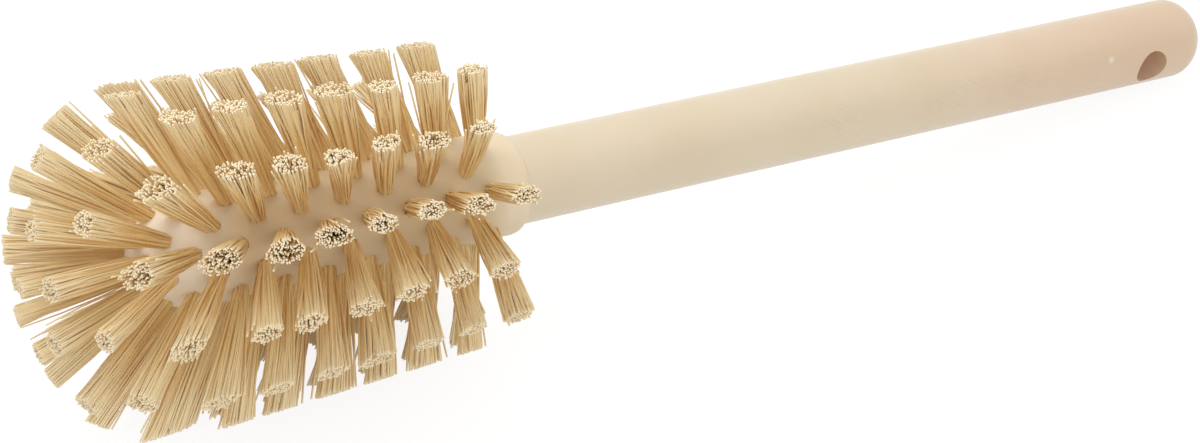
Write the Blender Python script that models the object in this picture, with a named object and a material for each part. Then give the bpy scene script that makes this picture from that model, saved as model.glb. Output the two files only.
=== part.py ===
"""Bottle brush: a moulded head with rings of bristle tufts, seated on a round handle.

The brush is modelled along X, with X = 0 at the mouth of the collar, the butt of the handle towards +X
and the nose of the head towards -X. Angles round the axis start at the top and run towards +Y. An empty
then leans the brush as it lies on a table, on the underside of its handle and the tips of its bristles.
"""
import math

import bmesh
import bpy
from mathutils import Matrix, Vector

for left_over in list(bpy.data.objects):
    bpy.data.objects.remove(left_over, do_unlink=True)

MM = 0.001
FIT = 0.3 * MM  # gap between pieces that seat in one another

# Handle, whose length counts from the mouth of the collar to the butt
HANDLE_RADIUS = 15.0 * MM
HANDLE_LENGTH = 300.0 * MM
BUTT_ROUND = 12.5 * MM  # length over which the butt rounds off
HOLE_RADIUS = 6.9 * MM  # hanging hole across the handle
HOLE_FROM_END = 29.6 * MM
SPIGOT_RADIUS = 8.0 * MM  # spigot that runs on inside the head
SPIGOT_LENGTH = 50.0 * MM

# Block of the head
COLLAR_RADIUS = 17.5 * MM
COLLAR_LENGTH = 14.3 * MM
COLLAR_DEPTH = 10.0 * MM  # how far the full handle enters the collar
MOUTH_ROUND = 4.0 * MM  # length over which the collar's mouth rounds off
MOUTH_LIP = 0.25 * MM  # flat left round the handle
CORE_RADIUS = 18.0 * MM
SPINDLE_RADIUS = 12.0 * MM  # core that carries the slices of the block
PIN_RADIUS = 6.0 * MM  # end of the core, which enters the nose
PIN_LENGTH = 4.0 * MM
NOSE_DEPTH = 23.3 * MM  # from the last straight ring of tufts to the end of the block

# Rings of tufts, numbered from the collar
TUFTS_PER_RING = 7
STRAIGHT_RINGS = 14
NOSE_RINGS = 3
RING_PITCH = 7.4 * MM
FIRST_SHIFT = 5.8 * MM  # how far the tips of the first ring lie towards the nose from their roots
LAST_SHIFT = 20.1 * MM  # the same, on the last straight ring
FIRST_REACH = 51.6 * MM  # radius that the tips of the first ring reach
LAST_REACH = 56.9 * MM
NOSE_REACH = 40.0 * MM  # how far the tips of the nose lie past those of the last straight ring
NOSE_ROOT_STEP = math.radians(20.0)  # between two rings of roots on the rounded nose

# Strands, three to a tuft
ROOT_OFFSET = 1.5 * MM  # from the middle of the tuft to the middle of a strand, at the block
TIP_OFFSET = 3.3 * MM  # the same, at the tips
ROOT_SIZE = 1.1 * MM  # from the middle of a strand to its corners, at the block
TIP_SIZE = 1.8 * MM
ROOT_DEPTH = 1.2 * MM  # how deep a strand goes into the block
TIP_CUT = 0.5 * MM  # depth to which the lowest tips are flattened by the table

ROUND_SIDES = 56
SLICE_SIDES = 28
HOLE_SIDES = 32
ROUND_STEPS = 6  # rings of faces along a rounded edge

# Places along X that follow from the sizes above
BUTT_START = HANDLE_LENGTH - BUTT_ROUND
BORE_RADIUS = HANDLE_RADIUS + FIT
FIRST_RING_X = -COLLAR_LENGTH - RING_PITCH / 2
NOSE_START = FIRST_RING_X - (STRAIGHT_RINGS - 1) * RING_PITCH
NOSE_TIPS_START = NOSE_START - LAST_SHIFT


def on_ellipse(start, depth, radius, angle):
    """Place (x, radius) on a rounded nose and its direction of run, both in the plane of the axis."""
    place = Vector((start - depth * math.sin(angle), radius * math.cos(angle)))
    run = Vector((-depth * math.cos(angle), -radius * math.sin(angle))).normalized()
    return place, run


def ring_roots(ring):
    """Place and run of the roots of a ring of tufts on the surface of the block."""
    if ring < STRAIGHT_RINGS:
        return Vector((FIRST_RING_X - ring * RING_PITCH, CORE_RADIUS)), Vector((-1.0, 0.0))
    past = ring - STRAIGHT_RINGS + 1
    angle = past * NOSE_ROOT_STEP if past <= NOSE_RINGS else math.pi / 2
    return on_ellipse(NOSE_START, NOSE_DEPTH, CORE_RADIUS, angle)


def ring_tips(ring):
    """Place and run of the tips of a ring of tufts, which are trimmed to one smooth outline."""
    if ring < STRAIGHT_RINGS:
        share = ring / (STRAIGHT_RINGS - 1)
        roots, _ = ring_roots(ring)
        shift = FIRST_SHIFT + share * (LAST_SHIFT - FIRST_SHIFT)
        reach = FIRST_REACH + share * (LAST_REACH - FIRST_REACH)
        length = FIRST_RING_X - FIRST_SHIFT - NOSE_TIPS_START
        return Vector((roots.x - shift, reach)), Vector((-length, LAST_REACH - FIRST_REACH)).normalized()
    angle = (ring - STRAIGHT_RINGS + 1) / (NOSE_RINGS + 1) * math.pi / 2
    return on_ellipse(NOSE_TIPS_START, NOSE_REACH, LAST_REACH, angle)


def block_radius(x):
    """Outer radius of the block at x: straight, then rounded over the nose."""
    past = max(0.0, (NOSE_START - x) / NOSE_DEPTH)
    return CORE_RADIUS * math.sqrt(max(0.0, 1.0 - past * past))


def around_axis(x, radius, angle):
    return Vector((x, radius * math.sin(angle), radius * math.cos(angle)))


def turned(name, profile, sides, hollow=False):
    """Mesh turned round X from (x, radius) points. The profile of a hollow one closes on itself."""
    bm = bmesh.new()
    rings = []
    for x, radius in profile:
        count = sides if radius > 0.0 else 1
        angles = [2 * math.pi * side / sides for side in range(count)]
        rings.append([bm.verts.new(around_axis(x, radius, angle)) for angle in angles])
    pairs = list(zip(rings, rings[1:]))
    if hollow:
        pairs.append((rings[-1], rings[0]))
    for first, second in pairs:
        for side in range(sides):
            near, far = side, side + 1
            corners = [first[near % len(first)], first[far % len(first)]]
            corners += [second[far % len(second)], second[near % len(second)]]
            bm.faces.new(list(dict.fromkeys(corners)))
    bmesh.ops.recalc_face_normals(bm, faces=bm.faces)
    mesh = bpy.data.meshes.new(name)
    bm.to_mesh(mesh)
    bm.free()
    return mesh


def plastic(name, colour, roughness):
    material = bpy.data.materials.new(name)
    material.use_nodes = True
    shader = material.node_tree.nodes["Principled BSDF"]
    shader.inputs["Base Color"].default_value = (*colour, 1.0)
    shader.inputs["Roughness"].default_value = roughness
    shader.inputs["Metallic"].default_value = 0.0
    return material


def node(mesh, material):
    """Object for one piece of the brush, under the empty that leans it."""
    mesh.materials.append(material)
    mesh.shade_smooth()
    mesh.set_sharp_from_angle(angle=math.radians(35.0))
    piece = bpy.data.objects.new(mesh.name, mesh)
    piece.parent = lean
    bpy.context.scene.collection.objects.link(piece)
    return piece


def tool(mesh):
    """Object that only cuts or joins another and isn't a piece of the brush."""
    shape = bpy.data.objects.new(mesh.name, mesh)
    shape.parent = lean
    shape.hide_render = True
    shape.display_type = "WIRE"
    bpy.context.scene.collection.objects.link(shape)
    return shape


def boolean(piece, operation, shape):
    modifier = piece.modifiers.new(operation.lower(), "BOOLEAN")
    modifier.operation = operation
    modifier.object = shape
    modifier.solver = "EXACT"


def sections(place, run, angle, depth, offset, size):
    """Corners of the three strands of a tuft where they cross a surface, one triangle each."""
    axial = Vector((1.0, 0.0, 0.0))
    radial = around_axis(0.0, 1.0, angle)
    around = around_axis(0.0, 1.0, angle + math.pi / 2)
    along = run.x * axial + run.y * radial
    middle = place.x * axial + place.y * radial - depth * around.cross(along)
    found = []
    for strand in range(3):
        aim = math.pi / 2 + strand * 2 * math.pi / 3
        centre = middle + offset * (math.cos(aim) * around + math.sin(aim) * along)
        turns = [aim + corner * 2 * math.pi / 3 for corner in range(3)]
        found.append([centre + size * (math.cos(turn) * around + math.sin(turn) * along) for turn in turns])
    return found


def tuft_angles(ring):
    """Angles of the tufts of a ring. Every second ring is turned by half a step; the nose ends in one."""
    if ring == STRAIGHT_RINGS + NOSE_RINGS:
        return [0.0]
    step = 2 * math.pi / TUFTS_PER_RING
    return [(tuft + ring % 2 / 2) * step for tuft in range(TUFTS_PER_RING)]


def tip_sections(ring, angle):
    return sections(*ring_tips(ring), angle, 0.0, TIP_OFFSET, TIP_SIZE)


def lowest(angle):
    """Lowest point of the handle when the brush is leaned by an angle, before it is stood on the table."""
    return min(-x * math.sin(angle) - radius * math.cos(angle) for x, radius in handle_profile())


def tip_corners():
    """Corners of the tips of all the strands."""
    corners = []
    for ring in range(STRAIGHT_RINGS + NOSE_RINGS + 1):
        for angle in tuft_angles(ring):
            for tip in tip_sections(ring, angle):
                corners += tip
    return corners


def resting_lean():
    """Angle at which the lowest tips would reach TIP_CUT below the table that the handle lies on."""
    tips = [tip for tip in tip_corners() if tip.z < -HANDLE_RADIUS]
    found = 0.0
    for _ in range(5):
        support = TIP_CUT - lowest(found) - BUTT_START * math.sin(found)
        leans = []
        for tip in tips:
            length, drop = BUTT_START - tip.x, -tip.z
            leans.append(math.atan2(drop, length) - math.asin(support / math.hypot(length, drop)))
        found = max(leans)
    return found


def halfway(angle):
    """Middle of the leaned brush along the table, between the foremost tip and the butt."""
    butt = max(x * math.cos(angle) + radius * math.sin(angle) for x, radius in handle_profile())
    nose = min(tip.x * math.cos(angle) + tip.z * math.sin(angle) for tip in tip_corners())
    return (nose + butt) / 2


def above_table(corner):
    """Height of a point above the table once the brush leans."""
    return corner.z * math.cos(LEAN) - corner.x * math.sin(LEAN) - lowest(LEAN)


def on_table(root, tip):
    """Corner of a tip, moved back along its edge to the table if it would pass through."""
    height = above_table(tip)
    if height >= 0.0:
        return tip
    return tip.lerp(root, height / (height - above_table(root)))


def strands(name, rings):
    """Mesh of every strand of some rings, each a closed three-sided prism that widens to its tip."""
    bm = bmesh.new()
    for ring in rings:
        for angle in tuft_angles(ring):
            roots = sections(*ring_roots(ring), angle, ROOT_DEPTH, ROOT_OFFSET, ROOT_SIZE)
            for root, tip in zip(roots, tip_sections(ring, angle)):
                low = [bm.verts.new(corner) for corner in root]
                high = [bm.verts.new(on_table(*edge)) for edge in zip(root, tip)]
                bm.faces.new(low[::-1])
                bm.faces.new(high)
                for side in range(3):
                    bm.faces.new((low[side], low[side - 2], high[side - 2], high[side]))
    bmesh.ops.recalc_face_normals(bm, faces=bm.faces)
    mesh = bpy.data.meshes.new(name)
    bm.to_mesh(mesh)
    bm.free()
    return mesh


def rounded(start, end, inner, outer):
    """Points of a quarter ellipse from (start, outer) to (end, inner)."""
    points = []
    for step in range(ROUND_STEPS + 1):
        angle = step / ROUND_STEPS * math.pi / 2
        points.append((start + (end - start) * math.sin(angle), inner + (outer - inner) * math.cos(angle)))
    points[-1] = (end, inner)
    return points


def handle_profile():
    """Spigot, shoulder, grip and rounded butt, as (x, radius) from end to end."""
    shoulder = -COLLAR_DEPTH
    profile = [
        (shoulder - SPIGOT_LENGTH, 0.0),
        (shoulder - SPIGOT_LENGTH, SPIGOT_RADIUS),
        (shoulder, SPIGOT_RADIUS),
        (shoulder, HANDLE_RADIUS),
    ]
    return profile + rounded(BUTT_START, HANDLE_LENGTH, 0.0, HANDLE_RADIUS)


def make_handle():
    handle = node(turned("handle", handle_profile(), ROUND_SIDES), cream)
    bm = bmesh.new()
    across = Matrix.Rotation(math.pi / 2, 4, "X")
    place = Matrix.Translation((HANDLE_LENGTH - HOLE_FROM_END, 0.0, 0.0)) @ across
    bmesh.ops.create_cone(
        bm, cap_ends=True, segments=HOLE_SIDES, radius1=HOLE_RADIUS, radius2=HOLE_RADIUS,
        depth=3 * HANDLE_RADIUS, matrix=place,
    )
    mesh = bpy.data.meshes.new("hanging_hole_cutter")
    bm.to_mesh(mesh)
    bm.free()
    boolean(handle, "DIFFERENCE", tool(mesh))


def make_head_core(end):
    """Collar, socket and spindle in one piece. It ends in a pin that enters the nose."""
    socket = -COLLAR_DEPTH - FIT
    bottom = socket - SPIGOT_LENGTH
    profile = [
        (end - PIN_LENGTH, 0.0),
        (end - PIN_LENGTH, PIN_RADIUS),
        (end, PIN_RADIUS),
        (end, SPINDLE_RADIUS),
        (-COLLAR_LENGTH, SPINDLE_RADIUS),
        (-COLLAR_LENGTH, COLLAR_RADIUS),
    ]
    profile += rounded(-MOUTH_ROUND, 0.0, BORE_RADIUS + MOUTH_LIP, COLLAR_RADIUS)
    profile += [
        (0.0, BORE_RADIUS),
        (socket, BORE_RADIUS),
        (socket, SPIGOT_RADIUS + FIT),
        (bottom, SPIGOT_RADIUS + FIT),
        (bottom, 0.0),
    ]
    return node(turned("head_core", profile, ROUND_SIDES), pale_cream)


def outline(start, end, steps):
    """Outer outline of the block from one x to another."""
    places = [start + (end - start) * step / steps for step in range(steps + 1)]
    return [(x, block_radius(x)) for x in places]


def make_slice(ring, start, end):
    """Slice of the block with one ring of tufts, threaded on the core."""
    steps = 1 if end >= NOSE_START else 3
    profile = [(end, SPINDLE_RADIUS + FIT), (start, SPINDLE_RADIUS + FIT)] + outline(start, end, steps)
    name = f"tuft_ring_{ring + 1:02d}"
    piece = node(turned(name, profile, SLICE_SIDES, hollow=True), tan)
    boolean(piece, "UNION", tool(strands(name + "_strands", [ring])))


def make_nose_cap(start):
    """Rounded end of the block with the last rings and the middle tuft, seated on the core's pin."""
    seat = start - PIN_LENGTH - FIT
    profile = [(seat, 0.0), (seat, PIN_RADIUS + FIT), (start, PIN_RADIUS + FIT)]
    first = math.asin((NOSE_START - start) / NOSE_DEPTH)
    for step in range(ROUND_STEPS):
        angle = first + step / ROUND_STEPS * (math.pi / 2 - first)
        place, _ = on_ellipse(NOSE_START, NOSE_DEPTH, CORE_RADIUS, angle)
        profile.append(tuple(place))
    profile.append((NOSE_START - NOSE_DEPTH, 0.0))
    piece = node(turned("nose_cap", profile, SLICE_SIDES), tan)
    rings = range(STRAIGHT_RINGS + 1, STRAIGHT_RINGS + NOSE_RINGS + 1)
    boolean(piece, "UNION", tool(strands("nose_cap_strands", rings)))


LEAN = resting_lean()
lean = bpy.data.objects.new("lean", None)
lean.rotation_euler = (0.0, LEAN, 0.0)
lean.location = (-halfway(LEAN), 0.0, -lowest(LEAN))
bpy.context.scene.collection.objects.link(lean)
cream = plastic("cream_polypropylene", (0.76, 0.64, 0.45), 0.45)
pale_cream = plastic("pale_cream_polypropylene", (0.70, 0.61, 0.47), 0.5)
tan = plastic("tan_polyester_filament", (0.62, 0.41, 0.18), 0.5)

make_handle()
edge = -COLLAR_LENGTH
for number in range(STRAIGHT_RINGS + 1):
    if number < STRAIGHT_RINGS:
        far_edge = ring_roots(number)[0].x - RING_PITCH / 2
    else:
        far_edge = (ring_roots(number)[0].x + ring_roots(number + 1)[0].x) / 2
    make_slice(number, edge - FIT, far_edge)
    edge = far_edge
make_head_core(edge)
make_nose_cap(edge - FIT)
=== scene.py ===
# %% [markdown]
# # The looks of a bottle brush
# The brush is a round moulded handle, a moulded block that holds 120 tufts, and the tufts themselves,
# each a bundle of fine plastic filaments. The solid model fixes the sizes and places, but for the few
# that are named below. This file makes the surfaces that the eye sees: the fine filaments, the drilled
# block and the satin plastics.

# %% Load the solid model
import math

import bmesh
import bpy
from mathutils import Matrix, Vector


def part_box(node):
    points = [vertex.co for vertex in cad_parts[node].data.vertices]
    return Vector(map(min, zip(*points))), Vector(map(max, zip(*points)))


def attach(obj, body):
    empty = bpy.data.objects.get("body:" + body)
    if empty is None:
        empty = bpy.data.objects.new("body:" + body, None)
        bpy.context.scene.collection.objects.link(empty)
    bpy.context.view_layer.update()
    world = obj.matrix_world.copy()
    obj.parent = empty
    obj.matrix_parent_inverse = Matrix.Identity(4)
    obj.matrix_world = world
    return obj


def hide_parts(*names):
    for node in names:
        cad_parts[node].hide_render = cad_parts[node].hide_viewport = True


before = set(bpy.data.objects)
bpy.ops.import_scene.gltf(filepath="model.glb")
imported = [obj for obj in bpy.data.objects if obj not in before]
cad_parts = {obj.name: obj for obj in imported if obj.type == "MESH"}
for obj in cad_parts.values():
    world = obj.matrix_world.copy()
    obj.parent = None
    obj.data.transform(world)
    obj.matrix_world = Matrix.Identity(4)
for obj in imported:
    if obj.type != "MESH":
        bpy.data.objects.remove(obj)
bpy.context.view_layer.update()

# %% [markdown]
# ## The sizes that everything follows
# A turned object is easiest to think of along its own axis. All sizes here are along the brush, with
# x = 0 at the mouth of the collar, the butt of the handle towards +x and the nose towards -x. They repeat
# the driving sizes of the solid model, so each surface lands where its solid is. Two differ from it, since
# they were corrected after the solid model was closed: the mouth of the collar lies back by `MOUTH_BACK`,
# and the ends of the nose tufts reach 38.2 mm, where the solids have 40 mm.

# %% Driving sizes
MM = 0.001
HANDLE_RADIUS = 15.0 * MM
HANDLE_LENGTH = 300.0 * MM
BUTT_ROUND = 12.5 * MM
HOLE_RADIUS = 6.9 * MM
HOLE_FROM_END = 29.6 * MM
COLLAR_RADIUS = 17.5 * MM
COLLAR_LENGTH = 14.3 * MM
COLLAR_DEPTH = 10.0 * MM
MOUTH_ROUND = 4.0 * MM
MOUTH_BACK = 3.0 * MM
CORE_RADIUS = 18.0 * MM
NOSE_DEPTH = 23.3 * MM
TUFTS_PER_RING = 7
STRAIGHT_RINGS = 14
NOSE_RINGS = 3
RING_PITCH = 7.4 * MM
FIRST_SHIFT, LAST_SHIFT = 5.8 * MM, 20.1 * MM
FIRST_REACH, LAST_REACH = 51.6 * MM, 56.9 * MM
NOSE_REACH = 38.2 * MM
NOSE_ROOT_STEP = math.radians(20.0)
FIRST_RING_X = -COLLAR_LENGTH - RING_PITCH / 2
NOSE_START = FIRST_RING_X - (STRAIGHT_RINGS - 1) * RING_PITCH
NOSE_TIPS_START = NOSE_START - LAST_SHIFT
print("tufts:", TUFTS_PER_RING * (STRAIGHT_RINGS + NOSE_RINGS) + 1)

# %% [markdown]
# ## How the brush lies
# The brush lies on its tufts and on the butt of its handle, so its axis leans. The lean can be read from
# the height of the handle's box: a leaned cylinder stands as high as its length times the sine of the
# lean, plus what its two round ends add. A few rounds of that sum settle it.

# %% Read the lean from the handle's box
SETTLING_ROUNDS = 8

low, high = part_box("handle")
butt_start = HANDLE_LENGTH - BUTT_ROUND
lean = 0.0
for _ in range(SETTLING_ROUNDS):
    round_end = math.hypot(BUTT_ROUND * math.sin(lean), HANDLE_RADIUS * math.cos(lean))
    rise = high[2] - low[2] - HANDLE_RADIUS * math.cos(lean) - round_end
    lean = math.asin(rise / (butt_start + COLLAR_DEPTH))
butt_reach = math.hypot(BUTT_ROUND * math.cos(lean), HANDLE_RADIUS * math.sin(lean))
reach = butt_start * math.cos(lean) + butt_reach
mouth = Vector((high[0] - reach, 0.0, low[2] + round_end + butt_start * math.sin(lean)))
LAY = Matrix.Translation(mouth) @ Matrix.Rotation(lean, 4, "Y")
print("lean:", round(math.degrees(lean), 2), "degrees")
print("mouth of the collar at", [round(v, 4) for v in mouth])

# %% [markdown]
# ## The camera
# The brush is seen from a little under a metre, from above its nose end, with a moderately long lens. The
# camera is placed like a lamp on a boom: a point that it aims at, a distance, two angles and a roll.

# %% Camera
AIM = Vector((-26.8, 0.0, 15.2)) * MM
DISTANCE = 910.6 * MM
ELEVATION, HEADING, ROLL = (math.radians(angle) for angle in (42.28, 33.40, 5.83))
look = Vector((
    math.cos(ELEVATION) * math.sin(HEADING), math.cos(ELEVATION) * math.cos(HEADING), -math.sin(ELEVATION)
))
camera = bpy.data.objects.new("camera", bpy.data.cameras.new("camera"))
camera.data.lens = 78.54
camera.data.sensor_width = 36.0
camera.matrix_world = (
    Matrix.Translation(AIM - DISTANCE * look)
    @ look.to_track_quat("-Z", "Y").to_matrix().to_4x4()
    @ Matrix.Rotation(ROLL, 4, "Z")
)
bpy.context.scene.collection.objects.link(camera)
bpy.context.scene.camera = camera
print("camera at", [round(v, 3) for v in camera.matrix_world.translation])

# %% [markdown]
# ## Helpers for materials
# Colours are written as they look on a screen, in sRGB hex, and Blender works in linear light, so one
# function turns the first into the second. A second small function adds any node with its settings and
# links, which keeps each material short enough to read as a recipe.

# %% Colour and node helpers
def linear(code):
    """Linear colour with alpha from an sRGB hex value such as "#E3D2B4"."""
    shares = [int(code[place:place + 2], 16) / 255 for place in (1, 3, 5)]
    return [s / 12.92 if s <= 0.04045 else ((s + 0.055) / 1.055) ** 2.4 for s in shares] + [1.0]


def add(tree, kind, inputs=None, **settings):
    """New node with its settings. Each input gets a value, or a link when it is given a socket."""
    node = tree.nodes.new(kind)
    for name, value in settings.items():
        setattr(node, name, value)
    for name, value in (inputs or {}).items():
        if isinstance(value, bpy.types.NodeSocket):
            tree.links.new(value, node.inputs[name])
        else:
            node.inputs[name].default_value = value
    return node


def new_material(name):
    """Material with an empty tree but for its shader, and that tree and shader."""
    material = bpy.data.materials.new(name)
    material.use_nodes = True
    return material, material.node_tree, material.node_tree.nodes["Principled BSDF"]


print("cream in linear light:", [round(v, 3) for v in linear("#E3D2B4")])

# %% [markdown]
# ## Moulded polypropylene of the handle
# Polypropylene from a mould is satin: light spreads in it a little, and its highlights are wide and weak.
# The pigment drifts slowly from yellow cream at the head to a pinker cream at the butt. A faint leathery
# grain of the mould breaks up the highlight. One side of the grip has soft, worn patches of slanting
# lines, 1.7 mm apart. They are low ridges, so each line is a bump, and each ridge also carries a faint
# darker tone that is painted shade. A small pale dot marks where the plastic was let in; its paleness is
# a painted highlight of the small raised nub there, which has no shape of its own here.

# %% Material: handle
DRIFT_FROM, DRIFT_TO = 120.0 * MM, 270.0 * MM
HANDLE_CLOUD = 38.0 * MM
GRAIN = 0.9 * MM
GRAIN_HEIGHT = 0.012 * MM
LINE_PITCH = 1.7 * MM
LINE_HEIGHT = 0.06 * MM
LINE_WAY = (0.53, 0.36, 0.77)
RIDGE_SHADE = 0.17
BAND_MIDDLE = (0.0, math.sin(math.radians(-65.0)), math.cos(math.radians(-65.0)))
BAND_EDGE, BAND_FULL = 0.88 * HANDLE_RADIUS, 0.97 * HANDLE_RADIUS
BAND_PLACE, BAND_LENGTH, BAND_FADE = 182.0 * MM, 150.0 * MM, 15.0 * MM
PATCH_LENGTH, PATCH_FROM, PATCH_FULL = 30.0 * MM, 0.33, 0.48
WORN_SPOT, WORN_FROM, WORN_FULL = 4.0 * MM, 0.35, 0.6
GATE_PLACE = LAY @ Vector((248.8 * MM, -13.13 * MM, 7.25 * MM))
GATE_RADIUS = 1.7 * MM

handle_plastic, tree, shader = new_material("moulded_polypropylene_cream")
where = add(tree, "ShaderNodeTexCoord").outputs["Object"]
turned_back = LAY.inverted()
along_brush = add(tree, "ShaderNodeMapping", {
    "Vector": where, "Rotation": turned_back.to_euler(), "Location": turned_back.translation,
}).outputs[0]
place = add(tree, "ShaderNodeSeparateXYZ", {0: along_brush}).outputs
drift = add(tree, "ShaderNodeMapRange", {
    "Value": place["X"], "From Min": DRIFT_FROM, "From Max": DRIFT_TO,
}, interpolation_type="SMOOTHSTEP").outputs[0]
cloud = add(tree, "ShaderNodeTexNoise", {
    "Vector": where, "Scale": 1 / HANDLE_CLOUD, "Detail": 3.0,
}).outputs[0]
base = add(tree, "ShaderNodeMix", {
    "Factor": drift, 6: linear("#E3D4BA"), 7: linear("#E1C8AD"),
}, data_type="RGBA").outputs[2]
mottled = add(tree, "ShaderNodeMix", {
    "Factor": cloud, 6: linear("#F4EEE4"), 7: linear("#FFFFFF"),
}, data_type="RGBA").outputs[2]
colour = add(tree, "ShaderNodeMix", {
    "Factor": 1.0, 6: base, 7: mottled,
}, data_type="RGBA", blend_type="MULTIPLY").outputs[2]
gate = add(tree, "ShaderNodeVectorMath", {0: where, 1: GATE_PLACE}, operation="DISTANCE").outputs["Value"]
# Painted highlight: a small pale dot for the lit side of the raised nub at the gate.
gate_highlight = add(tree, "ShaderNodeMapRange", {
    "Value": gate, "From Min": GATE_RADIUS, "From Max": 0.2 * GATE_RADIUS,
}).outputs[0]
colour = add(tree, "ShaderNodeMix", {
    "Factor": gate_highlight, 6: colour, 7: linear("#EADCC9"),
}, data_type="RGBA").outputs[2]
grain = add(tree, "ShaderNodeTexNoise", {"Vector": where, "Scale": 1 / GRAIN, "Detail": 2.0}).outputs[0]
slant = add(tree, "ShaderNodeVectorMath", {0: along_brush, 1: LINE_WAY}, operation="DOT_PRODUCT")
wave = add(tree, "ShaderNodeMath", {
    0: slant.outputs["Value"], 1: 2 * math.pi / LINE_PITCH,
}, operation="MULTIPLY").outputs[0]
lines = add(tree, "ShaderNodeMath", {0: wave}, operation="SINE").outputs[0]
facing = add(tree, "ShaderNodeVectorMath", {0: along_brush, 1: BAND_MIDDLE}, operation="DOT_PRODUCT")
band = add(tree, "ShaderNodeMapRange", {
    "Value": facing.outputs["Value"], "From Min": BAND_EDGE, "From Max": BAND_FULL,
}).outputs[0]
from_middle = add(tree, "ShaderNodeMath", {0: place["X"], 1: BAND_PLACE}, operation="SUBTRACT").outputs[0]
off = add(tree, "ShaderNodeMath", {0: from_middle}, operation="ABSOLUTE").outputs[0]
stretch = add(tree, "ShaderNodeMapRange", {
    "Value": off, "From Min": BAND_LENGTH / 2, "From Max": BAND_LENGTH / 2 - BAND_FADE,
}).outputs[0]
patches = add(tree, "ShaderNodeTexNoise", {
    "Vector": along_brush, "Scale": 1 / PATCH_LENGTH, "Detail": 1.0,
}).outputs[0]
patch = add(tree, "ShaderNodeMapRange", {
    "Value": patches, "From Min": PATCH_FROM, "From Max": PATCH_FULL,
}).outputs[0]
worn = add(tree, "ShaderNodeTexNoise", {
    "Vector": along_brush, "Scale": 1 / WORN_SPOT, "Detail": 1.0,
}).outputs[0]
worn = add(tree, "ShaderNodeMapRange", {
    "Value": worn, "From Min": WORN_FROM, "From Max": WORN_FULL,
}).outputs[0]
patch = add(tree, "ShaderNodeMath", {0: patch, 1: worn}, operation="MULTIPLY").outputs[0]
masked = add(tree, "ShaderNodeMath", {0: patch, 1: band}, operation="MULTIPLY").outputs[0]
masked = add(tree, "ShaderNodeMath", {0: masked, 1: stretch}, operation="MULTIPLY").outputs[0]
hatching = add(tree, "ShaderNodeMath", {0: masked, 1: lines}, operation="MULTIPLY").outputs[0]
faint = add(tree, "ShaderNodeMath", {0: hatching, 1: LINE_HEIGHT}, operation="MULTIPLY").outputs[0]
height = add(tree, "ShaderNodeMath", {
    0: grain, 1: GRAIN_HEIGHT, 2: faint,
}, operation="MULTIPLY_ADD").outputs[0]
bump = add(tree, "ShaderNodeBump", {"Height": height, "Distance": 1.0}).outputs[0]
# Painted shade: each ridge of the slanting lines is darkened a little in colour.
painted_ridge_shade = add(tree, "ShaderNodeMath", {
    0: hatching, 1: RIDGE_SHADE,
}, operation="MULTIPLY", use_clamp=True).outputs[0]
colour = add(tree, "ShaderNodeMix", {
    "Factor": painted_ridge_shade, 6: colour, 7: linear("#C8B090"),
}, data_type="RGBA").outputs[2]
tree.links.new(colour, shader.inputs["Base Color"])
tree.links.new(bump, shader.inputs["Normal"])
shader.inputs["Roughness"].default_value = 0.4
shader.inputs["IOR"].default_value = 1.49
shader.inputs["Coat Weight"].default_value = 0.4
shader.inputs["Coat Roughness"].default_value = 0.3
shader.inputs["Subsurface Weight"].default_value = 0.2
shader.inputs["Subsurface Radius"].default_value = (1.0, 0.7, 0.4)
shader.inputs["Subsurface Scale"].default_value = 2.0 * MM
print("handle material nodes:", len(tree.nodes))

# %% [markdown]
# ## Moulded polypropylene of the block
# The block is the same kind of plastic in a greyer cream, with a softer, duller skin, since it comes from
# a blasted mould and then lets 120 drills through. Its surface waves a little from shrinking as it cooled.
# From the collar on, where the tufts stand, the block is painted a shade greyer: painted shade between
# the tufts. Over the nose it pales again.

# %% Material: block
SHRINK = 9.0 * MM
SHRINK_HEIGHT = 0.6 * MM
BLOCK_CLOUD = 14.0 * MM
TUFT_SHADE_FROM, TUFT_SHADE_TO = mouth.x - COLLAR_LENGTH + 4.0 * MM, mouth.x - COLLAR_LENGTH - 4.0 * MM
PALE_FROM, PALE_TO = mouth.x + NOSE_START + 12.0 * MM, mouth.x + NOSE_START - 8.0 * MM

block_plastic, tree, shader = new_material("moulded_polypropylene_block")
where = add(tree, "ShaderNodeTexCoord").outputs["Object"]
along_block = add(tree, "ShaderNodeSeparateXYZ", {0: where}).outputs["X"]
painted_tuft_shade = add(tree, "ShaderNodeMapRange", {
    "Value": along_block, "From Min": TUFT_SHADE_FROM, "From Max": TUFT_SHADE_TO,
}).outputs[0]
cloud = add(tree, "ShaderNodeTexNoise", {
    "Vector": where, "Scale": 1 / BLOCK_CLOUD, "Detail": 2.0,
}).outputs[0]
colour = add(tree, "ShaderNodeMix", {
    "Factor": cloud, 6: linear("#E4D0AF"), 7: linear("#EDDCBE"),
}, data_type="RGBA").outputs[2]
# Painted shade: the block is darkened where the tufts stand, from the collar on.
colour = add(tree, "ShaderNodeMix", {
    "Factor": painted_tuft_shade, 6: colour, 7: linear("#EBE7DD"),
}, data_type="RGBA", blend_type="MULTIPLY").outputs[2]
pale_nose = add(tree, "ShaderNodeMapRange", {
    "Value": along_block, "From Min": PALE_FROM, "From Max": PALE_TO,
}).outputs[0]
colour = add(tree, "ShaderNodeMix", {
    "Factor": pale_nose, 6: colour, 7: linear("#F6EBD8"),
}, data_type="RGBA").outputs[2]
ripple = add(tree, "ShaderNodeTexNoise", {"Vector": where, "Scale": 1 / SHRINK, "Detail": 2.0}).outputs[0]
bump = add(tree, "ShaderNodeBump", {
    "Height": ripple, "Strength": 0.25, "Distance": SHRINK_HEIGHT,
}).outputs[0]
tree.links.new(colour, shader.inputs["Base Color"])
tree.links.new(bump, shader.inputs["Normal"])
shader.inputs["Roughness"].default_value = 0.55
shader.inputs["IOR"].default_value = 1.49
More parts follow.
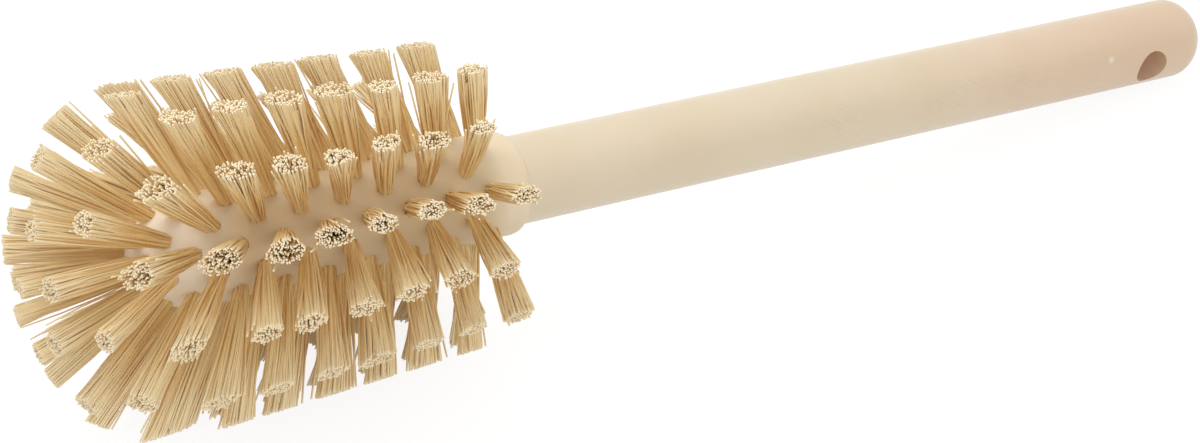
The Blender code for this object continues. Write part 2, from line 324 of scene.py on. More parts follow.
shader.inputs["Subsurface Weight"].default_value = 0.15
shader.inputs["Subsurface Radius"].default_value = (1.0, 0.75, 0.5)
shader.inputs["Subsurface Scale"].default_value = 2.0 * MM
print("block material nodes:", len(tree.nodes))

# %% [markdown]
# ## Polyester filament
# The filaments are drawn from PBT, a polyester, in a straw colour. Each has its own tone, and each pales
# towards its end, where light comes in from all sides. The sawn ends scatter light and look nearly white.
# Three attributes, made together with the filaments, tell the material about this: `tone` is one random
# number for each filament, `along` runs from 0 at the root to 1 at the end, and `cut` is 1 on the ends.

# %% Material: filaments
PALING_FROM, PALING_MOST = 0.45, 0.75
TIP_FROM, TIP_FULL, TIP_SHARE = 0.955, 0.99, 0.6

filament_plastic, tree, shader = new_material("drawn_polyester_filament")
tone, along, cut = (
    add(tree, "ShaderNodeAttribute", attribute_name=name).outputs["Fac"] for name in ("tone", "along", "cut")
)
straw = add(tree, "ShaderNodeMix", {
    "Factor": tone, 6: linear("#E0BA7C"), 7: linear("#F8E8B6"),
}, data_type="RGBA").outputs[2]
paling = add(tree, "ShaderNodeMapRange", {
    "Value": along, "From Min": PALING_FROM, "From Max": 1.0, "To Max": PALING_MOST,
}, interpolation_type="SMOOTHSTEP").outputs[0]
colour = add(tree, "ShaderNodeMix", {
    "Factor": paling, 6: straw, 7: linear("#F5E6C0"),
}, data_type="RGBA").outputs[2]
tip = add(tree, "ShaderNodeMapRange", {
    "Value": along, "From Min": TIP_FROM, "From Max": TIP_FULL,
}).outputs[0]
pale = add(tree, "ShaderNodeMath", {
    0: tip, 1: TIP_SHARE, 2: cut,
}, operation="MULTIPLY_ADD", use_clamp=True).outputs[0]
colour = add(tree, "ShaderNodeMix", {
    "Factor": pale, 6: colour, 7: linear("#F8EBCC"),
}, data_type="RGBA").outputs[2]
tree.links.new(colour, shader.inputs["Base Color"])
shader.inputs["Roughness"].default_value = 0.42
shader.inputs["IOR"].default_value = 1.5
print("filament material nodes:", len(tree.nodes))

# %% [markdown]
# ## Turned shapes
# Handle and block are both bodies of revolution, so one function makes them: it takes the outline as
# points (x, radius) and sets a ring of vertices for each. Points on the axis become a single vertex.

# %% A function that turns an outline round the axis
def round_axis(x, radius, angle):
    return Vector((x, radius * math.sin(angle), radius * math.cos(angle)))


def turned(name, outline, sides):
    """Closed mesh turned round the brush's axis, still lying along x."""
    bm = bmesh.new()
    rings = []
    for x, radius in outline:
        angles = [2 * math.pi * side / sides for side in range(sides if radius > 0.0 else 1)]
        rings.append([bm.verts.new(round_axis(x, radius, angle)) for angle in angles])
    for first, second in zip(rings, rings[1:]):
        for side in range(sides):
            corners = [first[side % len(first)], first[(side + 1) % len(first)]]
            corners += [second[(side + 1) % len(second)], second[side % len(second)]]
            bm.faces.new(list(dict.fromkeys(corners)))
    bmesh.ops.recalc_face_normals(bm, faces=bm.faces)
    mesh = bpy.data.meshes.new(name)
    bm.to_mesh(mesh)
    bm.free()
    return mesh


def quarter(start, end, inner, outer, steps=12):
    """Points of a quarter ellipse from (start, outer) to (end, inner)."""
    angles = [step / steps * math.pi / 2 for step in range(steps)]
    curve = [(start + (end - start) * math.sin(a), inner + (outer - inner) * math.cos(a)) for a in angles]
    return curve + [(end, inner)]


print("points on a rounded edge:", len(quarter(0.0, 1.0, 0.0, 1.0)))

# %% [markdown]
# ## Cutting holes
# The hanging hole and the holes of the tufts are cut by a Boolean with plain cylinders, as a drill would.
# All cutters of a piece are one object, so there is one cut. The result is turned into a plain mesh.

# %% Functions that drill a mesh and make a finished piece
def drill(mesh, holes, radius, depth, sides):
    """Mesh with round holes. Each hole is (middle of the cutter, direction)."""
    bm = bmesh.new()
    for middle, direction in holes:
        place = Matrix.Translation(middle) @ direction.to_track_quat("Z", "Y").to_matrix().to_4x4()
        bmesh.ops.create_cone(
            bm, cap_ends=True, segments=sides, radius1=radius, radius2=radius, depth=depth, matrix=place
        )
    drills = bpy.data.meshes.new("drills")
    bm.to_mesh(drills)
    bm.free()
    body, cutter = (bpy.data.objects.new(part.name, part) for part in (mesh, drills))
    for shape in (body, cutter):
        bpy.context.scene.collection.objects.link(shape)
    cut = body.modifiers.new("drill", "BOOLEAN")
    cut.operation = "DIFFERENCE"
    cut.object = cutter
    cut.solver = "EXACT"
    result = bpy.data.meshes.new_from_object(body.evaluated_get(bpy.context.evaluated_depsgraph_get()))
    for shape in (body, cutter):
        bpy.data.objects.remove(shape, do_unlink=True)
    return result


def finished(name, mesh, material, smooth_angle=35.0):
    """Object with its place in its mesh, laid as the brush lies."""
    mesh.transform(LAY)
    mesh.materials.clear()
    mesh.materials.append(material)
    mesh.shade_smooth()
    mesh.set_sharp_from_angle(angle=math.radians(smooth_angle))
    piece = bpy.data.objects.new(name, mesh)
    bpy.context.scene.collection.objects.link(piece)
    return piece


print("drill and finish are ready")

# %% [markdown]
# ## The handle
# A straight cylinder with a rounded butt. Its front end steps down to a spigot that runs on inside the
# head, where the eye can't follow. The hanging hole crosses it near the butt.

# %% Piece: handle_grip
SPIGOT_RADIUS = 8.0 * MM
SPIGOT_LENGTH = 50.0 * MM
HANDLE_SIDES, HOLE_SIDES = 128, 64

outline = [
    (-COLLAR_DEPTH - SPIGOT_LENGTH, 0.0),
    (-COLLAR_DEPTH - SPIGOT_LENGTH, SPIGOT_RADIUS),
    (-COLLAR_DEPTH, SPIGOT_RADIUS),
    (-COLLAR_DEPTH, HANDLE_RADIUS),
] + quarter(butt_start, HANDLE_LENGTH, 0.0, HANDLE_RADIUS, steps=24)
hanging_hole = (Vector((HANDLE_LENGTH - HOLE_FROM_END, 0.0, 0.0)), Vector((0.0, 1.0, 0.0)))
mesh = turned("handle_grip", outline, HANDLE_SIDES)
mesh = drill(mesh, [hanging_hole], HOLE_RADIUS, 3 * HANDLE_RADIUS, HOLE_SIDES)
handle_grip = finished("handle_grip", mesh, handle_plastic)
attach(handle_grip, "root")
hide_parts("handle")
print("handle_grip faces:", len(handle_grip.data.polygons))

# %% [markdown]
# ## Where the tufts stand
# Fourteen rings of seven tufts run along the block, each ring turned by half a step against the last, and
# three more rings close over the nose round one middle tuft. Roots sit on the block. Ends lie on a second,
# larger outline, since the whole head is trimmed to shape after it is filled. Each tuft therefore needs
# two places, and at each place the two directions that lie in the surface: round the axis, and along it.
# Three rings next to the nose are combed over: on the near side their ends lie further to the nose, and
# two of them stand a little lower. Rings are counted from 0 at the collar.

# %% Layout of the tufts
FLARE_ROUND, FLARE_ALONG, FLARE_ON_NOSE = 0.079, 0.143, 0.097
COMBED_OVER = {12: 3.0 * MM, 13: 6.2 * MM, 14: 3.2 * MM}
TRIMMED_OFF = {13: 2.8 * MM, 14: 2.6 * MM}
NEAR_SHARE, NEAR_SLOPE = 0.5, 1.3


def on_nose(start, depth, radius, angle):
    """Place (x, radius) on a rounded nose, and the direction in which its outline runs there."""
    place = Vector((start - depth * math.sin(angle), radius * math.cos(angle)))
    return place, Vector((-depth * math.cos(angle), -radius * math.sin(angle))).normalized()


def root_of(ring):
    if ring < STRAIGHT_RINGS:
        return Vector((FIRST_RING_X - ring * RING_PITCH, CORE_RADIUS)), Vector((-1.0, 0.0))
    past = ring - STRAIGHT_RINGS + 1
    angle = past * NOSE_ROOT_STEP if past <= NOSE_RINGS else math.pi / 2
    return on_nose(NOSE_START, NOSE_DEPTH, CORE_RADIUS, angle)


def end_of(ring):
    if ring < STRAIGHT_RINGS:
        share = ring / (STRAIGHT_RINGS - 1)
        shift = FIRST_SHIFT + share * (LAST_SHIFT - FIRST_SHIFT)
        radius = FIRST_REACH + share * (LAST_REACH - FIRST_REACH)
        length = FIRST_RING_X - FIRST_SHIFT - NOSE_TIPS_START
        run = Vector((-length, LAST_REACH - FIRST_REACH)).normalized()
        return Vector((root_of(ring)[0].x - shift, radius)), run
    angle = (ring - STRAIGHT_RINGS + 1) / (NOSE_RINGS + 1) * math.pi / 2
    return on_nose(NOSE_TIPS_START, NOSE_REACH, LAST_REACH, angle)


def in_space(flat, angle):
    """Vector in space from one in the plane of the axis, (along x, away from the axis)."""
    return Vector((flat.x, flat.y * math.sin(angle), flat.y * math.cos(angle)))


tufts = []
for ring in range(STRAIGHT_RINGS + NOSE_RINGS + 1):
    step = 2 * math.pi / TUFTS_PER_RING
    count = TUFTS_PER_RING if ring < STRAIGHT_RINGS + NOSE_RINGS else 1
    for number in range(count):
        angle = (number + ring % 2 / 2) * step if count > 1 else 0.0
        (root, root_run), (end, end_run) = root_of(ring), end_of(ring)
        near_side = min(1.0, max(0.0, NEAR_SHARE - NEAR_SLOPE * math.sin(angle)))
        end = end - Vector((COMBED_OVER.get(ring, 0.0) * near_side, TRIMMED_OFF.get(ring, 0.0)))
        on_bar = ring < STRAIGHT_RINGS
        flares = (FLARE_ROUND, FLARE_ALONG) if on_bar else (FLARE_ON_NOSE, FLARE_ON_NOSE)
        tufts.append({
            "number": len(tufts),
            "ring": ring,
            "root": in_space(root, angle),
            "spread": Vector((*flares, 0.0)) * (end - root).length,
            "end": in_space(end, angle),
            "around": round_axis(0.0, 1.0, angle + math.pi / 2),
            "root_run": in_space(root_run, angle),
            "end_run": in_space(end_run, angle),
        })
print("tufts laid out:", len(tufts))

# %% [markdown]
# ## The block
# The block is one moulding from the collar's mouth to the nose. Seen closely it is a smooth bar with a
# round hole under each tuft, which shows as a thin dark rim. The holes point the way their tufts stand.

# %% Piece: head_block
TUFT_HOLE = 2.3 * MM
TUFT_HOLE_DEPTH = 5.0 * MM
PLAY, LIP, SHOULDER = 0.1 * MM, 0.25 * MM, 2.0 * MM
BLOCK_SIDES, TUFT_HOLE_SIDES = 112, 24

bore = HANDLE_RADIUS + PLAY
outline = [(-COLLAR_DEPTH, 0.0), (-COLLAR_DEPTH, bore), (-MOUTH_BACK, bore)]
bend = quarter(-MOUTH_BACK - MOUTH_ROUND, -MOUTH_BACK, bore + LIP, COLLAR_RADIUS)
outline += reversed(bend)
outline += [(-COLLAR_LENGTH + SHOULDER, COLLAR_RADIUS), (-COLLAR_LENGTH, CORE_RADIUS)]
outline += quarter(NOSE_START, NOSE_START - NOSE_DEPTH, 0.0, CORE_RADIUS, steps=18)
holes = [(tuft["root"], (tuft["end"] - tuft["root"]).normalized()) for tuft in tufts]
mesh = turned("head_block", outline, BLOCK_SIDES)
mesh = drill(mesh, holes, TUFT_HOLE, 2 * TUFT_HOLE_DEPTH, TUFT_HOLE_SIDES)
head_block = finished("head_block", mesh, block_plastic, smooth_angle=40.0)
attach(head_block, "root")
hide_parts("head_core")
print("head_block faces:", len(head_block.data.polygons))

# %% [markdown]
# ## A tuft, as a rule
# Over twenty thousand filaments are too many to model one by one, so a Geometry Nodes tree makes them
# from one point for each tuft. It copies the point once for each filament, spreads the copies over a disc
# the way seeds lie in a sunflower, which packs a circle evenly, and does the same on a wider disc at the
# ends. Each filament is a line between its two places with a slight bow of its own. A few stray well
# outside their bundle. Most lengths differ by a fraction of a millimetre, as sawn filaments do.

# %% Inputs of the tree
FILAMENT_INPUTS = {
    "Geometry": "NodeSocketGeometry",
    "Filaments": "NodeSocketInt",
    "Root Radius": "NodeSocketFloat",
    "Tilt": "NodeSocketFloat",
    "Filament Radius": "NodeSocketFloat",
    "Root Depth": "NodeSocketFloat",
    "Unevenness": "NodeSocketFloat",
    "Bow": "NodeSocketFloat",
    "Stray Share": "NodeSocketFloat",
    "Short Share": "NodeSocketFloat",
    "Seed": "NodeSocketInt",
    "Material": "NodeSocketMaterial",
}
tree = bpy.data.node_groups.new("tuft_filaments", "GeometryNodeTree")
for label, kind in FILAMENT_INPUTS.items():
    tree.interface.new_socket(name=label, in_out="INPUT", socket_type=kind)
tree.interface.new_socket(name="Geometry", in_out="OUTPUT", socket_type="NodeSocketGeometry")
given = add(tree, "NodeGroupInput").outputs
print("inputs of the tree:", len(FILAMENT_INPUTS))

# %% [markdown]
# The first stage stays with points. `Duplicate Index` counts the copies of one tuft, and the golden angle
# between two neighbours in that count gives the sunflower. Each tuft starts at another angle and splays
# by another amount, so no two look alike, and a small scatter hides the pattern. At the ends a slow noise
# also draws neighbours together, because real filaments stick in clumps.

# %% Stage 1: a disc of points for each tuft
GOLDEN_ANGLE = math.pi * (3 - math.sqrt(5))
SCATTER = 0.11
CLUMPING, CLUMPS_ACROSS, NOISE_SPAN = 0.85, 1.2, 50.0

copies = add(tree, "GeometryNodeDuplicateElements", {
    "Geometry": given["Geometry"], "Amount": given["Filaments"],
}, domain="POINT")
number = copies.outputs["Duplicate Index"]
tuft = add(tree, "GeometryNodeInputNamedAttribute", {"Name": "tuft"}, data_type="INT").outputs[0]
first_turn = add(tree, "FunctionNodeRandomValue", {
    2: 0.0, 3: 2 * math.pi, "ID": tuft, "Seed": given["Seed"],
}, data_type="FLOAT").outputs[1]
turn = add(tree, "ShaderNodeMath", {
    0: number, 1: GOLDEN_ANGLE, 2: first_turn,
}, operation="MULTIPLY_ADD").outputs[0]
half_on = add(tree, "ShaderNodeMath", {0: number, 1: 0.5}, operation="ADD").outputs[0]
share = add(tree, "ShaderNodeMath", {0: half_on, 1: given["Filaments"]}, operation="DIVIDE").outputs[0]
out = add(tree, "ShaderNodeMath", {0: share}, operation="SQRT").outputs[0]
cosine = add(tree, "ShaderNodeMath", {0: turn}, operation="COSINE").outputs[0]
sine = add(tree, "ShaderNodeMath", {0: turn}, operation="SINE").outputs[0]
circle = add(tree, "ShaderNodeCombineXYZ", {0: cosine, 1: sine}).outputs[0]
disc = add(tree, "ShaderNodeVectorMath", {0: circle, "Scale": out}, operation="SCALE").outputs[0]
scatter = add(tree, "FunctionNodeRandomValue", {
    0: (-SCATTER, -SCATTER, 0.0), 1: (SCATTER, SCATTER, 0.0), "Seed": given["Seed"],
}, data_type="FLOAT_VECTOR").outputs[0]
end_disc = add(tree, "ShaderNodeVectorMath", {0: disc, 1: scatter}, operation="ADD").outputs[0]
elsewhere = add(tree, "FunctionNodeRandomValue", {
    0: (0.0,) * 3, 1: (NOISE_SPAN,) * 3, "ID": tuft, "Seed": 23,
}, data_type="FLOAT_VECTOR").outputs[0]
noise_place = add(tree, "ShaderNodeVectorMath", {0: disc, 1: elsewhere}, operation="ADD").outputs[0]
clumps = add(tree, "ShaderNodeTexNoise", {
    "Vector": noise_place, "Scale": CLUMPS_ACROSS, "Detail": 1.0,
}).outputs["Color"]
clumps = add(tree, "ShaderNodeVectorMath", {0: clumps, 1: (0.5, 0.5, 0.5)}, operation="SUBTRACT").outputs[0]
clumps = add(tree, "ShaderNodeVectorMath", {0: clumps, "Scale": CLUMPING}, operation="SCALE").outputs[0]
end_disc = add(tree, "ShaderNodeVectorMath", {0: end_disc, 1: clumps}, operation="ADD").outputs[0]
print("nodes so far:", len(tree.nodes))

# %% [markdown]
# A place on the disc becomes a place in space with the two directions of the surface there, which come in
# as attributes of the tuft. This is needed at the root and at the end, so it is a small function. Roots
# are shuffled a little against ends, so that filaments cross, and some inner ones are shorter.

# %% Stage 2: roots and ends in space
SPLAY = (0.86, 1.14)
STRAY_SIZE = (1.3, 1.75)
UNEVEN = (-1.0, 0.1)
CROSSING = 0.3
INNER_PART = 0.82
SHORTER_BY = (1.0 * MM, 4.5 * MM)


def laid(disc, across, run, size):
    """Socket with the vector from the middle of a tuft to a place on its disc, in space."""
    parts = add(tree, "ShaderNodeSeparateXYZ", {0: disc}).outputs
    sideways = add(tree, "ShaderNodeVectorMath", {
        0: across, "Scale": parts[0],
    }, operation="SCALE").outputs[0]
    onward = add(tree, "ShaderNodeVectorMath", {0: run, "Scale": parts[1]}, operation="SCALE").outputs[0]
    both = add(tree, "ShaderNodeVectorMath", {0: sideways, 1: onward}, operation="ADD").outputs[0]
    return add(tree, "ShaderNodeVectorMath", {0: both, "Scale": size}, operation="SCALE").outputs[0]


around, root_run, end_run, end, spread = (
    add(tree, "GeometryNodeInputNamedAttribute", {"Name": name}, data_type="FLOAT_VECTOR").outputs[0]
    for name in ("around", "root_run", "end_run", "end", "spread")
)
splay = add(tree, "FunctionNodeRandomValue", {
    2: SPLAY[0], 3: SPLAY[1], "ID": tuft, "Seed": 5,
}, data_type="FLOAT").outputs[1]
strays = add(tree, "FunctionNodeRandomValue", {
    "Probability": given["Stray Share"], "Seed": 7,
}, data_type="BOOLEAN").outputs[3]
stray_size = add(tree, "FunctionNodeRandomValue", {
    2: STRAY_SIZE[0], 3: STRAY_SIZE[1], "Seed": 9,
}, data_type="FLOAT").outputs[1]
widening = add(tree, "GeometryNodeSwitch", {
    "Switch": strays, "False": 1.0, "True": stray_size,
}, input_type="FLOAT").outputs[0]
middle = add(tree, "GeometryNodeInputPosition").outputs[0]
stem = add(tree, "ShaderNodeVectorMath", {0: end, 1: middle}, operation="SUBTRACT").outputs[0]
end_size = add(tree, "ShaderNodeMath", {0: splay, 1: widening}, operation="MULTIPLY").outputs[0]
stem_way = add(tree, "ShaderNodeVectorMath", {0: stem}, operation="NORMALIZE").outputs[0]
sunk = add(tree, "ShaderNodeVectorMath", {
    0: stem_way, "Scale": given["Root Depth"],
}, operation="SCALE").outputs[0]
bottom = add(tree, "ShaderNodeVectorMath", {0: middle, 1: sunk}, operation="SUBTRACT").outputs[0]
crossing = add(tree, "FunctionNodeRandomValue", {
    0: (-CROSSING, -CROSSING, 0.0), 1: (CROSSING, CROSSING, 0.0), "Seed": 29,
}, data_type="FLOAT_VECTOR").outputs[0]
root_disc = add(tree, "ShaderNodeVectorMath", {0: disc, 1: crossing}, operation="ADD").outputs[0]
root_place = add(tree, "ShaderNodeVectorMath", {
    0: bottom, 1: laid(root_disc, around, root_run, given["Root Radius"]),
}, operation="ADD").outputs[0]
uneven = add(tree, "FunctionNodeRandomValue", {
    2: UNEVEN[0], 3: UNEVEN[1], "Seed": 11,
}, data_type="FLOAT").outputs[1]
extra = add(tree, "ShaderNodeMath", {0: uneven, 1: given["Unevenness"]}, operation="MULTIPLY").outputs[0]
inner = add(tree, "ShaderNodeMath", {0: out, 1: INNER_PART}, operation="LESS_THAN").outputs[0]
broken = add(tree, "FunctionNodeRandomValue", {
    "Probability": given["Short Share"], "Seed": 31,
}, data_type="BOOLEAN").outputs[3]
missing = add(tree, "FunctionNodeRandomValue", {
    2: SHORTER_BY[0], 3: SHORTER_BY[1], "Seed": 37,
}, data_type="FLOAT").outputs[1]
missing = add(tree, "GeometryNodeSwitch", {
    "Switch": broken, "False": 0.0, "True": missing,
}, input_type="FLOAT").outputs[0]
missing = add(tree, "ShaderNodeMath", {0: missing, 1: inner}, operation="MULTIPLY").outputs[0]
extra = add(tree, "ShaderNodeMath", {0: extra, 1: missing}, operation="SUBTRACT").outputs[0]
longer = add(tree, "ShaderNodeVectorMath", {0: stem_way, "Scale": extra}, operation="SCALE").outputs[0]
lean_over = add(tree, "FunctionNodeRandomValue", {
    0: (-1.0,) * 3, 1: (1.0,) * 3, "ID": tuft, "Seed": 19,
}, data_type="FLOAT_VECTOR").outputs[0]
tilted = add(tree, "ShaderNodeVectorMath", {
    0: laid(lean_over, around, end_run, given["Tilt"]), 1: end,
}, operation="ADD").outputs[0]
end_middle = add(tree, "ShaderNodeVectorMath", {0: tilted, 1: longer}, operation="ADD").outputs[0]
end_disc = add(tree, "ShaderNodeVectorMath", {0: end_disc, 1: spread}, operation="MULTIPLY").outputs[0]
end_free = add(tree, "ShaderNodeVectorMath", {
    0: end_middle, 1: laid(end_disc, around, end_run, end_size),
}, operation="ADD").outputs[0]
table = add(tree, "ShaderNodeCombineXYZ", {0: -1.0, 1: -1.0, 2: given["Filament Radius"]}).outputs[0]
end_place = add(tree, "ShaderNodeVectorMath", {0: end_free, 1: table}, operation="MAXIMUM").outputs[0]
print("nodes so far:", len(tree.nodes))

# %% [markdown]
# The last line above keeps each end above the table that the brush lies on, where a real filament would
# bend. Now each point gets its places stored by name, a short line is set on it as an instance, and once
# the lines are real their points are moved between the two stored places. Storing first matters: the
# points of a line can only ask for what was written on the point that they came from.

# %% Stage 3: lines between the two places
POINTS_PER_FILAMENT = 4

points = copies.outputs["Geometry"]
bow = add(tree, "FunctionNodeRandomValue", {
    0: (-1.0,) * 3, 1: (1.0,) * 3, "Seed": 13,
}, data_type="FLOAT_VECTOR").outputs[0]
bow = add(tree, "ShaderNodeVectorMath", {0: bow, "Scale": given["Bow"]}, operation="SCALE").outputs[0]
tone_value = add(tree, "FunctionNodeRandomValue", {2: 0.0, 3: 1.0, "Seed": 17}, data_type="FLOAT").outputs[1]
for name, value, kind in (
    ("root_place", root_place, "FLOAT_VECTOR"), ("end_place", end_place, "FLOAT_VECTOR"),
    ("bow", bow, "FLOAT_VECTOR"), ("tone", tone_value, "FLOAT"),
):
    points = add(tree, "GeometryNodeStoreNamedAttribute", {
        "Geometry": points, "Name": name, "Value": value,
    }, data_type=kind, domain="POINT").outputs[0]
line = add(tree, "GeometryNodeCurvePrimitiveLine").outputs[0]
line = add(tree, "GeometryNodeResampleCurve", {"Curve": line, "Count": POINTS_PER_FILAMENT}).outputs[0]
lines = add(tree, "GeometryNodeInstanceOnPoints", {"Points": points, "Instance": line}).outputs[0]
lines = add(tree, "GeometryNodeRealizeInstances", {0: lines}).outputs[0]
way = add(tree, "GeometryNodeSplineParameter").outputs["Factor"]
stored = {
    name: add(tree, "GeometryNodeInputNamedAttribute", {"Name": name}, data_type="FLOAT_VECTOR").outputs[0]
    for name in ("root_place", "end_place", "bow")
}
straight = add(tree, "ShaderNodeMix", {
    "Factor": way, 4: stored["root_place"], 5: stored["end_place"],
}, data_type="VECTOR").outputs[1]
back = add(tree, "ShaderNodeMath", {0: 1.0, 1: way}, operation="SUBTRACT").outputs[0]
arch = add(tree, "ShaderNodeMath", {0: way, 1: back}, operation="MULTIPLY").outputs[0]
bent = add(tree, "ShaderNodeVectorMath", {0: stored["bow"], "Scale": arch}, operation="SCALE").outputs[0]
place = add(tree, "ShaderNodeVectorMath", {0: straight, 1: bent}, operation="ADD").outputs[0]
lines = add(tree, "GeometryNodeSetPosition", {"Geometry": lines, "Position": place}).outputs[0]
lines = add(tree, "GeometryNodeStoreNamedAttribute", {
    "Geometry": lines, "Name": "along", "Value": way,
}, data_type="FLOAT", domain="POINT").outputs[0]
print("nodes so far:", len(tree.nodes))

# %% [markdown]
# The lines become tubes of four sides with closed ends, 28 triangles each, which is plenty for so thin a
# thing. A face of a closed end has `along` = 1 at all its corners, and no other face has, so one
# comparison on faces finds the sawn ends.

# %% Stage 4: tubes, sawn ends and the output
SIDES = 4
AT_THE_END = 0.99

profile = add(tree, "GeometryNodeCurvePrimitiveCircle", {
    "Resolution": SIDES, "Radius": given["Filament Radius"],
}).outputs["Curve"]
tubes = add(tree, "GeometryNodeCurveToMesh", {
    "Curve": lines, "Profile Curve": profile, "Fill Caps": True,
}).outputs[0]
how_far = add(tree, "GeometryNodeInputNamedAttribute", {"Name": "along"}, data_type="FLOAT").outputs[0]
sawn = add(tree, "ShaderNodeMath", {0: how_far, 1: AT_THE_END}, operation="GREATER_THAN").outputs[0]
tubes = add(tree, "GeometryNodeStoreNamedAttribute", {
    "Geometry": tubes, "Name": "cut", "Value": sawn,
}, data_type="FLOAT", domain="FACE").outputs[0]
tubes = add(tree, "GeometryNodeSetMaterial", {"Geometry": tubes, "Material": given["Material"]}).outputs[0]
add(tree, "NodeGroupOutput", {"Geometry": tubes})
print("nodes in the tree:", len(tree.nodes))

# %% [markdown]
# ## Filling the head
# The head is filled in four pieces, from the collar to the nose, so that none gets too heavy. For each, a
# mesh of bare points carries the tufts and their directions, the tree runs on it, and the result is kept
# as a plain mesh. Inputs are set by the identifier of their socket, since their names are only labels.
# Real filaments of this kind are about 0.5 mm thick. Here they are square in section, 0.67 mm across the
# corners and 0.47 mm across the flats, so that the tufts look closed with a number that a mesh can carry.

# %% A function that fills some rings
TUFT_SIZES = {
    "Filaments": 180,
    "Root Radius": 2.05 * MM,
    "Tilt": 1.2 * MM,
    "Filament Radius": 0.335 * MM,
    "Root Depth": 2.5 * MM,
    "Unevenness": 0.8 * MM,
    "Bow": 3.2 * MM,
    "Stray Share": 0.03,
    "Short Share": 0.4,
    "Seed": 3,
    "Material": filament_plastic,
}
CAP_ANGLE = math.radians(80.0)
tuft_filaments = tree


def filled(name, first, last):
    """Piece with the filaments of all tufts of the rings from first to last."""
    chosen = [tuft for tuft in tufts if first <= tuft["ring"] <= last]
    mesh = bpy.data.meshes.new(name)
    mesh.from_pydata([LAY @ tuft["root"] for tuft in chosen], [], [])
    numbers = [tuft["number"] for tuft in chosen]
    mesh.attributes.new("tuft", "INT", "POINT").data.foreach_set("value", numbers)
    carried = {"end": [LAY @ tuft["end"] for tuft in chosen], "spread": [tuft["spread"] for tuft in chosen]}
    for label in ("around", "root_run", "end_run"):
        carried[label] = [LAY.to_3x3() @ tuft[label] for tuft in chosen]
    for label, vectors in carried.items():
        flat = [value for vector in vectors for value in vector]
        mesh.attributes.new(label, "FLOAT_VECTOR", "POINT").data.foreach_set("vector", flat)
    carrier = bpy.data.objects.new(name + "_points", mesh)
    bpy.context.scene.collection.objects.link(carrier)
    modifier = carrier.modifiers.new("filaments", "NODES")
    modifier.node_group = tuft_filaments
    for item in tuft_filaments.interface.items_tree:
        if item.in_out == "INPUT" and item.name in TUFT_SIZES:
            modifier[item.identifier] = TUFT_SIZES[item.name]
    evaluated = carrier.evaluated_get(bpy.context.evaluated_depsgraph_get())
    result = bpy.data.meshes.new_from_object(evaluated)
    bpy.data.objects.remove(carrier, do_unlink=True)
    result.shade_smooth()
    result.set_sharp_from_angle(angle=CAP_ANGLE)
    piece = bpy.data.objects.new(name, result)
    bpy.context.scene.collection.objects.link(piece)
    return piece


print("filaments in all:", TUFT_SIZES["Filaments"] * len(tufts))

# %% Pieces: four stretches of bristles
STRETCHES = {
    "bristles_collar": (0, 3),
    "bristles_middle": (4, 7),
    "bristles_front": (8, 12),
    "bristles_nose": (13, 17),
}

for name, (first, last) in STRETCHES.items():
    piece = filled(name, first, last)
    solids = [f"tuft_ring_{ring + 1:02d}" for ring in range(first, min(last, STRAIGHT_RINGS) + 1)]
    if last > STRAIGHT_RINGS:
        solids.append("nose_cap")
    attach(piece, "root")
    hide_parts(*solids)
    piece.data.calc_loop_triangles()
    print(name, "replaces", len(solids), "nodes with", len(piece.data.loop_triangles), "triangles")

# %% [markdown]
# ## The floor and the light
# A product like this is shown on plain white. The floor is white to the camera, with a little of its real
# shading left in, so that the shadow under the brush still shows. To all other rays it is a white card,
# which fills the undersides with light. The world adds soft light from all round, and two large lamps,
# one above and one from the front, give the handle its gentle turn from light to less light. Light may
# bounce twelve times, since it has to find its way out from between pale filaments.

# %% Floor
FLOOR_SIZE = 6.0
FLOOR_SHADING, FLOOR_GLOW, FLOOR_BOUNCE = 0.22, 0.86, 0.78


def grey(share):
    return (share, share, share, 1.0)


def seen_directly(tree):
    """Socket that is 1 for rays from the camera, also after a mirror or clear plastic, and 0 for others."""
    rays = add(tree, "ShaderNodeLightPath").outputs
    seen = add(tree, "ShaderNodeMath", {
        0: rays["Is Camera Ray"], 1: rays["Is Glossy Ray"],
    }, operation="MAXIMUM").outputs[0]
    return add(tree, "ShaderNodeMath", {
        0: seen, 1: rays["Is Transmission Ray"],
    }, operation="MAXIMUM").outputs[0]


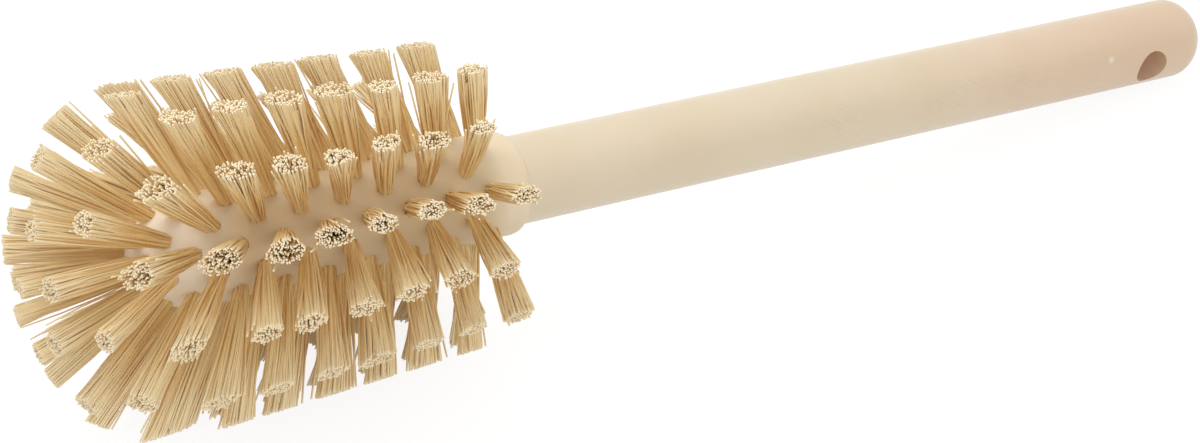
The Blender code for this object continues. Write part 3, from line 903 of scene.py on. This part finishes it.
bm = bmesh.new()
bmesh.ops.create_grid(bm, x_segments=1, y_segments=1, size=FLOOR_SIZE)
mesh = bpy.data.meshes.new("floor")
bm.to_mesh(mesh)
bm.free()
floor = bpy.data.objects.new("floor", mesh)
bpy.context.scene.collection.objects.link(floor)
card = bpy.data.materials.new("white_card")
card.use_nodes = True
tree = card.node_tree
tree.nodes.clear()
shaded = add(tree, "ShaderNodeBsdfDiffuse", {"Color": grey(FLOOR_SHADING)}).outputs[0]
glow = add(tree, "ShaderNodeEmission", {"Color": grey(1.0), "Strength": FLOOR_GLOW}).outputs[0]
white = add(tree, "ShaderNodeAddShader", {0: shaded, 1: glow}).outputs[0]
bounce = add(tree, "ShaderNodeBsdfDiffuse", {"Color": grey(FLOOR_BOUNCE)}).outputs[0]
surface = add(tree, "ShaderNodeMixShader", {0: seen_directly(tree), 1: bounce, 2: white}).outputs[0]
add(tree, "ShaderNodeOutputMaterial", {"Surface": surface})
floor.data.materials.append(card)
print("floor laid")

# %% Lamps and world
BOUNCES = 12
WORLD_TO_OTHERS, WORLD_SEEN = 0.7, 1.0
LIT_PLACE = Vector((0.0, 0.0, 40.0 * MM))


def softbox(name, place, size, watts):
    """Large square lamp at a place, turned to the brush."""
    lamp = bpy.data.lights.new(name, "AREA")
    lamp.size = size
    lamp.energy = watts
    holder = bpy.data.objects.new(name, lamp)
    holder.location = place
    holder.rotation_euler = (LIT_PLACE - Vector(place)).to_track_quat("-Z", "Y").to_euler()
    bpy.context.scene.collection.objects.link(holder)


softbox("lamp_above", (-0.3, 0.7, 1.4), 1.1, 11.3)
softbox("lamp_front", (-0.2, -1.5, 0.8), 1.0, 5.0)
world = bpy.data.worlds.new("studio")
world.use_nodes = True
bpy.context.scene.world = world
tree = world.node_tree
strength = add(tree, "ShaderNodeMapRange", {
    "Value": seen_directly(tree), "To Min": WORLD_TO_OTHERS, "To Max": WORLD_SEEN,
}).outputs[0]
background = tree.nodes["Background"]
background.inputs["Color"].default_value = grey(1.0)
tree.links.new(strength, background.inputs["Strength"])
bpy.context.scene.view_settings.view_transform = "Standard"
bpy.context.scene.cycles.max_bounces = BOUNCES
bpy.context.scene.cycles.diffuse_bounces = BOUNCES
